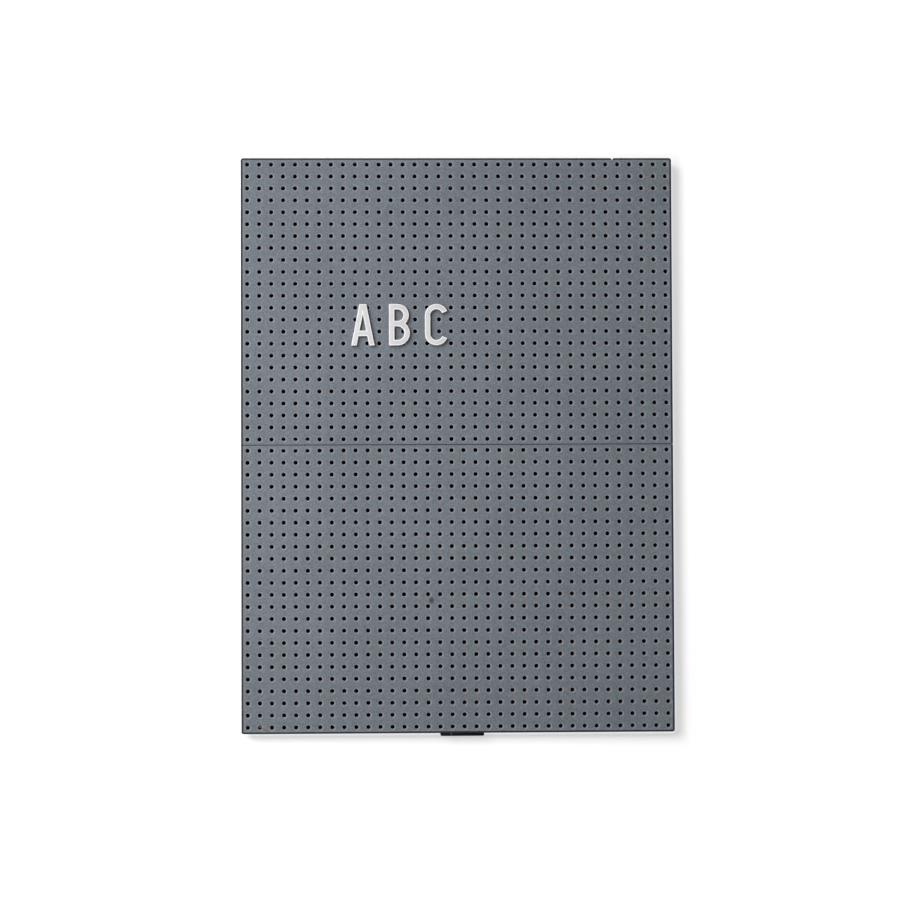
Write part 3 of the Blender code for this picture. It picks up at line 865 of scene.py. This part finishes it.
def ribbing(name, side, low, high):
    # the two upright ribs, the cross rib and the hanger, as one body
    front = low.y + tray["plate"] - tray["lap"]
    back = high.y - tray["endWallDrop"]
    bridgeFront = high.y - tray["hangerPlate"]
    wallIn = tray["wall"] - tray["lap"]
    half = tray["rib"] / 2
    end = high.z - low.z
    plateTop = end - tray["hangerDrop"]
    plateFoot = plateTop - tray["hangerHeight"]
    ribAt, cross, reach = tray["ribAt"], tray["crossRibRise"], tray["hangerAt"]
    # left, right, front, back, and the two heights from the seam
    boxes = [
        (-ribAt - half, half - ribAt, front, back, wallIn, end - wallIn),
        (ribAt - half, ribAt + half, front, back, wallIn, end - wallIn),
        (low.x + wallIn, high.x - wallIn, front, back - mm, cross - half, cross + half),
        (-reach - half, half - reach, front, high.y, plateFoot, plateTop),
        (reach - half, reach + half, front, high.y, plateFoot, plateTop),
        (-reach, reach, bridgeFront, high.y, plateFoot, plateTop),
    ]
    parts = []
    for left, right, near, far, *rises in boxes:
        bottom, top = sorted(panelZ(side, rise) for rise in rises)
        parts.append(boxObject(f"{name}_rib", (left, near, bottom), (right, far, top)))
    body = parts[0]
    for part in parts[1:]:
        combine(body, part, "UNION")

    headZ = panelZ(side, plateFoot + tray["headRise"])
    slotZ = headZ + side * tray["slotRise"]
    near, far = high.y - 2 * tray["hangerPlate"], high.y + tray["hangerPlate"]
    slot = tray["shankRadius"]
    keyhole = (rodObject("head", 0, headZ, tray["headRadius"], near, far, tray["headSides"]),
               boxObject("slot", (-slot, near, min(headZ, slotZ)), (slot, far, max(headZ, slotZ))),
               rodObject("slotEnd", 0, slotZ, slot, near, far, tray["shankSides"]))
    for part in keyhole:
        combine(body, part, "DIFFERENCE")
    return body


def burrObject(column, row, offset, radius):
    x = columnX(column) + offset[0] * mm
    z = panelZ(1, grid["seamMargin"] + row * grid["pitch"]) + offset[1] * mm
    mesh = bmesh.new()
    place = Matrix.Translation((x, frontY + tray["burrSink"], z))
    bmesh.ops.create_icosphere(mesh, subdivisions=2, radius=radius * mm, matrix=place)
    return meshObject("burr", mesh)


def fibreObject():
    # a dry fibre stuck across a hole, half sunk in the grime that holds it
    values = panelFinish
    y = frontY + values["fibreLift"] * mm
    start, end = (Vector((x * mm, y, seamZ + z * mm)) for x, z in (values["fibreFrom"], values["fibreTo"]))
    along = end - start
    turn = along.to_track_quat("Z", "Y").to_matrix().to_4x4()
    mesh = bmesh.new()
    bmesh.ops.create_cone(mesh, cap_ends=True, segments=values["fibreSides"], depth=along.length,
                          radius1=values["fibreThinEnd"] * mm, radius2=values["fibreRadius"] * mm,
                          matrix=Matrix.Translation((start + end) / 2) @ turn)
    return meshObject("fibre", mesh)


def nickObject(low, high):
    # a square bar on its edge, so that it cuts a V into the top edge
    values = panelFinish
    bar = bmesh.new()
    boxInto(bar, (-1, low.y - mm, -1), (1, low.y + tray["nickReach"], 1))
    size = [values[key] * mm * math.sqrt(0.5) for key in ("nickHalf", "nickDrop")]
    turn = Matrix.Rotation(math.radians(45), 4, "Y")
    place = Matrix.Translation((values["nickAt"] * mm, 0, high.z))
    bar.transform(place @ Matrix.Diagonal((size[0], 1, size[1], 1)) @ turn)
    return meshObject("nick", bar)


def makePanel(name, side, low, high):
    panel = meshObject(f"{name}_moulding", TrayMesh(low, high, side).build())
    rebate = bmesh.new()
    inner = high.x - tray["wall"]
    drop = high.y - tray["endWallDrop"]
    for start, stop in ((low.z - mm, low.z + 2 * tray["wall"]), (high.z - 2 * tray["wall"], high.z + mm)):
        boxInto(rebate, (-inner, drop, start), (inner, high.y + mm, stop))
    combine(panel, meshObject("rebate", rebate), "DIFFERENCE")
    combine(panel, ribbing(name, side, low, high), "UNION")
    upper = side > 0
    if upper:
        combine(panel, nickObject(low, high), "DIFFERENCE")
        for burr in tray["burrs"]:
            combine(panel, burrObject(*burr), "UNION")
    else:
        combine(panel, fibreObject(), "UNION")
    smoothFaces(panel.data, tray["sharpDegrees"], tray["levelFrom"])
    finishPiece(panel, name, panelAbs(f"ABS, blue-grey, spark-eroded, {name}", low, high, upper))
    if upper:
        # the same plastic with the letters' painted shadow, on the stretch of plate round the letters
        besideLetters = panelAbs("ABS, blue-grey, spark-eroded, beside the letters", low, high, upper, True)
        panel.data.materials.append(besideLetters)
        margin = panelFinish["shadeMargin"]
        first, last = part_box("letter_a")[0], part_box("letter_c")[1]
        for polygon in panel.data.polygons:
            x, y, z = polygon.center
            near = first.x - margin < x < last.x + margin and first.z - margin < z < last.z + margin
            if near and y < low.y + mm:
                polygon.material_index = 1
    print(name, "made,", len(panel.data.polygons), "faces")


makePanel("upper_panel", 1, upperLow, upperHigh)
makePanel("lower_panel", -1, lowerLow, lowerHigh)


# The clips: a U with softly rounded edges, whose inner legs stop well behind the plate

clip = {
    "web": 1.2 * mm, "leg": 0.95 * mm, "footLeg": 1.5 * mm, "hidden": -7.5 * mm,
    "edge": 0.22 * mm, "corner": 0.9 * mm, "cornerSteps": 6, "edgeSteps": 3,
    "sharpDegrees": 50, "smoothDegrees": 35,
}


def clipBody(node, leg):
    # the box less its channel, then the legs cut back, but for the one that shows below the board
    low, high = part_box(node)
    body = bmesh.new()
    boxInto(body, low, high)
    ends = [e for e in body.edges if abs(e.verts[0].co.y - e.verts[1].co.y) > mm]
    bmesh.ops.bevel(body, geom=ends, offset=clip["corner"], segments=clip["cornerSteps"], profile=0.5,
                    affect="EDGES")
    piece = meshObject(f"{node}_moulding", body)
    wide = high.x - low.x
    channel = boxObject("channel", (low.x - wide, low.y - mm, low.z + leg),
                        (high.x + wide, -clip["web"], high.z - leg))
    combine(piece, channel, "DIFFERENCE")
    middle = (low.z + high.z) / 2
    for start, stop in ((low.z - mm, middle), (middle, high.z + mm)):
        if node != "bottom_clip" or start == middle:
            cut = boxObject("cut", (low.x - mm, low.y - mm, start), (high.x + mm, clip["hidden"], stop))
            combine(piece, cut, "DIFFERENCE")
    # a small radius on every sharp edge
    modifier = piece.modifiers.new("soften", "BEVEL")
    modifier.width = clip["edge"]
    modifier.segments = clip["edgeSteps"]
    modifier.limit_method = "ANGLE"
    modifier.angle_limit = math.radians(clip["sharpDegrees"])
    modifier.use_clamp_overlap = True
    applyModifier(piece, modifier)
    smoothFaces(piece.data, clip["smoothDegrees"])
    return piece


for node in ("seam_clip_left", "seam_clip_middle", "seam_clip_right"):
    finishPiece(clipBody(node, clip["leg"]), node, clipAbs)
finishPiece(clipBody("bottom_clip", clip["footLeg"]), "bottom_clip", footAbs)
print("clips made")


def arcPoints(centre, radius, start, end):
    steps = letterForm["steps"]
    angles = [start + (end - start) * n / steps for n in range(steps + 1)]
    return [(centre[0] + radius * math.cos(a), centre[1] + radius * math.sin(a)) for a in angles]


def outlineA(width, height):
    apex, barRise = letterForm["apex"], letterForm["barRiseA"]
    lean = (width - apex) / 2 / height
    foot = letterForm["stroke"] * math.hypot(1, lean)
    outside = [(0, 0), (foot, 0), (foot + lean * barRise, barRise)]
    outside += [(width - x, z) for x, z in reversed(outside)]
    outside += [((width + apex) / 2, height), ((width - apex) / 2, height)]
    barTop = barRise + letterForm["bar"]
    inner = foot + lean * barTop
    counter = [(inner, barTop), (width - inner, barTop), (width / 2, (width / 2 - foot) / lean)]
    return [outside, counter]


def outlineB(width, height):
    quarter, bar, stroke = math.pi / 2, letterForm["bar"], letterForm["stroke"]
    lowRadius = (letterForm["barRiseB"] + bar) / 2
    highRadius = (height - letterForm["barRiseB"]) / 2
    lowCentre = (width - lowRadius, lowRadius)
    highCentre = (width - letterForm["upperInset"] - highRadius, height - highRadius)
    waist = letterForm["barRiseB"] + bar / 2
    outside = [(0, 0)]
    outside += arcPoints(lowCentre, lowRadius, -quarter, math.asin((waist - lowCentre[1]) / lowRadius))
    outside += arcPoints(highCentre, highRadius, math.asin((waist - highCentre[1]) / highRadius), quarter)
    outside += [(0, height)]
    counters = []
    for centre, radius in ((lowCentre, lowRadius - bar), (highCentre, highRadius - bar)):
        counters.append([(stroke, centre[1] - radius), *arcPoints(centre, radius, -quarter, quarter),
                         (stroke, centre[1] + radius)])
    return [outside, *counters]


def outlineC(width, height):
    # the mouth cuts the bowl short, so the bowl's radius comes from the width less that
    mouth = letterForm["mouth"]
    radius = width / (1 + math.cos(mouth))
    inside = radius - letterForm["stroke"]
    high, low = (radius, height - radius), (radius, radius)
    outline = arcPoints(high, radius, mouth, math.pi)
    outline += arcPoints(low, radius, math.pi, 2 * math.pi - mouth)
    outline += arcPoints(low, inside, 2 * math.pi - mouth, math.pi)
    outline += arcPoints(high, inside, math.pi, mouth)
    return [outline]


def makeLetter(node, drawOutline):
    low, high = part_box(node)
    back = frontY - letterForm["standOff"]
    thickness = back - low.y
    edge = letterForm["edge"]
    curve = bpy.data.curves.new(node, "CURVE")
    curve.dimensions = "2D"
    curve.fill_mode = "BOTH"
    curve.extrude = thickness / 2 - edge
    curve.bevel_depth = edge
    curve.bevel_resolution = letterForm["edgeSteps"]
    curve.offset = -edge
    for points in drawOutline(high.x - low.x, high.z - low.z):
        spline = curve.splines.new("POLY")
        spline.points.add(len(points) - 1)
        for point, (x, z) in zip(spline.points, points):
            point.co = (x, z, 0, 1)
        spline.use_cyclic_u = True
    guide = bpy.data.objects.new("outline", curve)
    scene.collection.objects.link(guide)
    graph = bpy.context.evaluated_depsgraph_get()
    data = bpy.data.meshes.new_from_object(guide.evaluated_get(graph))
    mesh = bmesh.new()
    mesh.from_mesh(data)
    bpy.data.objects.remove(guide, do_unlink=True)
    bpy.data.meshes.remove(data)
    bmesh.ops.remove_doubles(mesh, verts=mesh.verts, dist=letterForm["weld"])
    turn = Matrix.Rotation(math.radians(90), 4, "X")
    mesh.transform(Matrix.Translation((low.x, (low.y + back) / 2, low.z)) @ turn)
    bmesh.ops.recalc_face_normals(mesh, faces=mesh.faces)
    letter = meshObject(f"{node}_moulding", mesh)
    for x, z in letterForm["pegs"][node]:
        peg = rodObject("peg", low.x + x * mm, low.z + z * mm, letterForm["pegRadius"], back - mm, high.y,
                        letterForm["pegSides"])
        combine(letter, peg, "UNION")
    smoothFaces(letter.data, letterForm["smoothDegrees"])
    finishPiece(letter, node, letterAbs)


for node, drawOutline in (("letter_a", outlineA), ("letter_b", outlineB), ("letter_c", outlineC)):
    makeLetter(node, drawOutline)
print("letters made")
